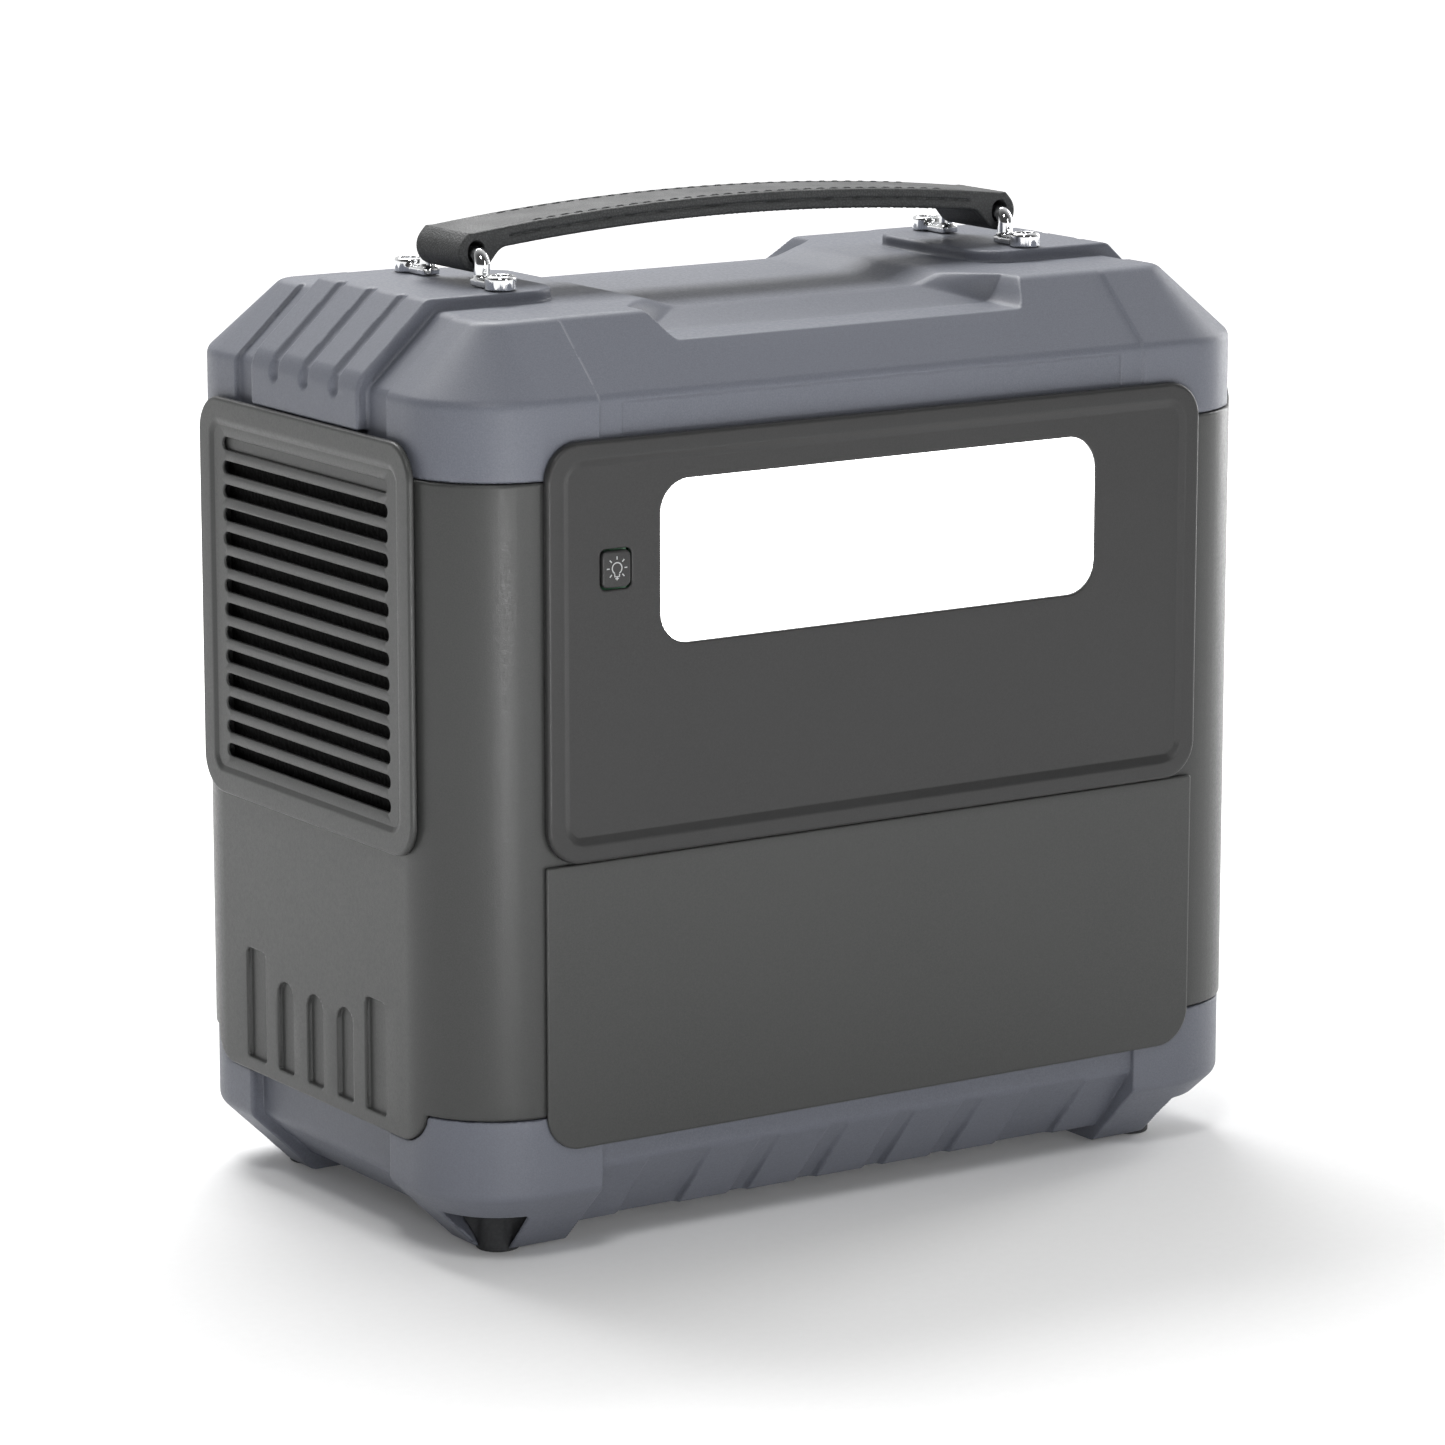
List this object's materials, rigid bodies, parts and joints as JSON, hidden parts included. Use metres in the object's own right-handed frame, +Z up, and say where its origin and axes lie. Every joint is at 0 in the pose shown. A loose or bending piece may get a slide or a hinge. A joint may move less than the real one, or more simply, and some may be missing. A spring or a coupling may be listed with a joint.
{
  "type": "portable power station",
  "caption": "Boxy portable battery power station with sloped caps, side grilles, a lit lamp panel, sockets on the far side and a strap handle.",
  "frame": {"origin": "on the floor under the middle of the case", "axes": "+Z up; -Y is the lamp side, +Y the socket side, -X and +X the grilles"},
  "size_m": [0.3168, 0.1872, 0.3218],
  "materials": {
    "slate_plastic": "fine moulded grain, slate blue-grey",
    "case_plastic": "fine moulded grain, dark warm grey",
    "panel_plastic": "satin dark grey",
    "diffuser": "milky lamp lens, lit",
    "black_plastic": "satin black",
    "glass": "smoked display window",
    "circuit_board": "green solder mask with parts on it",
    "chrome": "bright chrome plating",
    "steel": "zinc plated steel",
    "rubber": "black moulded rubber",
    "filter_foam": "open black filter foam",
    "leather": "dark grained strap with stitched edges",
    "battery_cans": null,
    "aluminium": "plain extruded aluminium"
  },
  "bodies": {
    "case": {"top_cover": "slate_plastic", "bottom_cover": "slate_plastic", "main_shell": "case_plastic", "lamp_skirt": "case_plastic", "control_skirt": "case_plastic", "left_grille": "case_plastic", "right_grille": "case_plastic", "left_dust_filter": "filter_foam", "right_dust_filter": "filter_foam", "lamp_panel": "panel_plastic", "control_panel": "panel_plastic", "lamp_diffuser": "diffuser", "usb_block": "black_plastic", "car_socket": "black_plastic", "dc_input": "black_plastic", "ac_outlet_1": "black_plastic", "ac_outlet_2": "black_plastic", "display_module": "black_plastic", "left_fan_frame": "black_plastic", "right_fan_frame": "black_plastic", "display_window": "glass", "lamp_led_board": "circuit_board", "lamp_switch_board": "circuit_board", "control_board": "circuit_board", "management_board": "circuit_board", "inverter_board": "circuit_board", "left_handle_bracket": "chrome", "right_handle_bracket": "chrome", "left_front_foot": "rubber", "left_back_foot": "rubber", "right_front_foot": "rubber", "right_back_foot": "rubber", "battery_clamp": "steel", "inner_tray": "steel", "left_front_handle_screw": "steel", "left_front_foot_screw": "steel", "left_back_handle_screw": "steel", "left_back_foot_screw": "steel", "right_front_handle_screw": "steel", "right_front_foot_screw": "steel", "right_back_handle_screw": "steel", "right_back_foot_screw": "steel", "battery_pack": "battery_cans", "heat_sink": "aluminium"},
    "strap": {"handle_strap": "leather"},
    "lamp_button_body": {"lamp_button": "black_plastic"},
    "main_button_body": {"main_button": "black_plastic"},
    "ac_button_body": {"ac_button": "black_plastic"},
    "dc_button_body": {"dc_button": "black_plastic"},
    "left_rotor": {"left_fan_rotor": "black_plastic"},
    "right_rotor": {"right_fan_rotor": "black_plastic"}
  },
  "joints": [
    {"name": "strap_lift", "type": "slide", "parent": "case", "child": "strap", "axis": [0, 0, 1], "range_m": [-0.0014, 0]},
    {"name": "lamp_button_press", "type": "slide", "parent": "case", "child": "lamp_button_body", "axis": [0, 1, 0], "range_m": [0, 0.0012], "stiffness_N_per_m": 400, "springref_m": -0.0005},
    {"name": "main_button_press", "type": "slide", "parent": "case", "child": "main_button_body", "axis": [0, -1, 0], "range_m": [0, 0.0012], "stiffness_N_per_m": 400, "springref_m": -0.0005},
    {"name": "ac_button_press", "type": "slide", "parent": "case", "child": "ac_button_body", "axis": [0, -1, 0], "range_m": [0, 0.0012], "stiffness_N_per_m": 400, "springref_m": -0.0005},
    {"name": "dc_button_press", "type": "slide", "parent": "case", "child": "dc_button_body", "axis": [0, -1, 0], "range_m": [0, 0.0012], "stiffness_N_per_m": 400, "springref_m": -0.0005},
    {"name": "left_fan_spin", "type": "hinge", "parent": "case", "child": "left_rotor", "pos_m": [-0.137, 0, 0.195], "axis": [1, 0, 0], "continuous": true},
    {"name": "right_fan_spin", "type": "hinge", "parent": "case", "child": "right_rotor", "pos_m": [0.137, 0, 0.195], "axis": [1, 0, 0], "continuous": true}
  ]
}
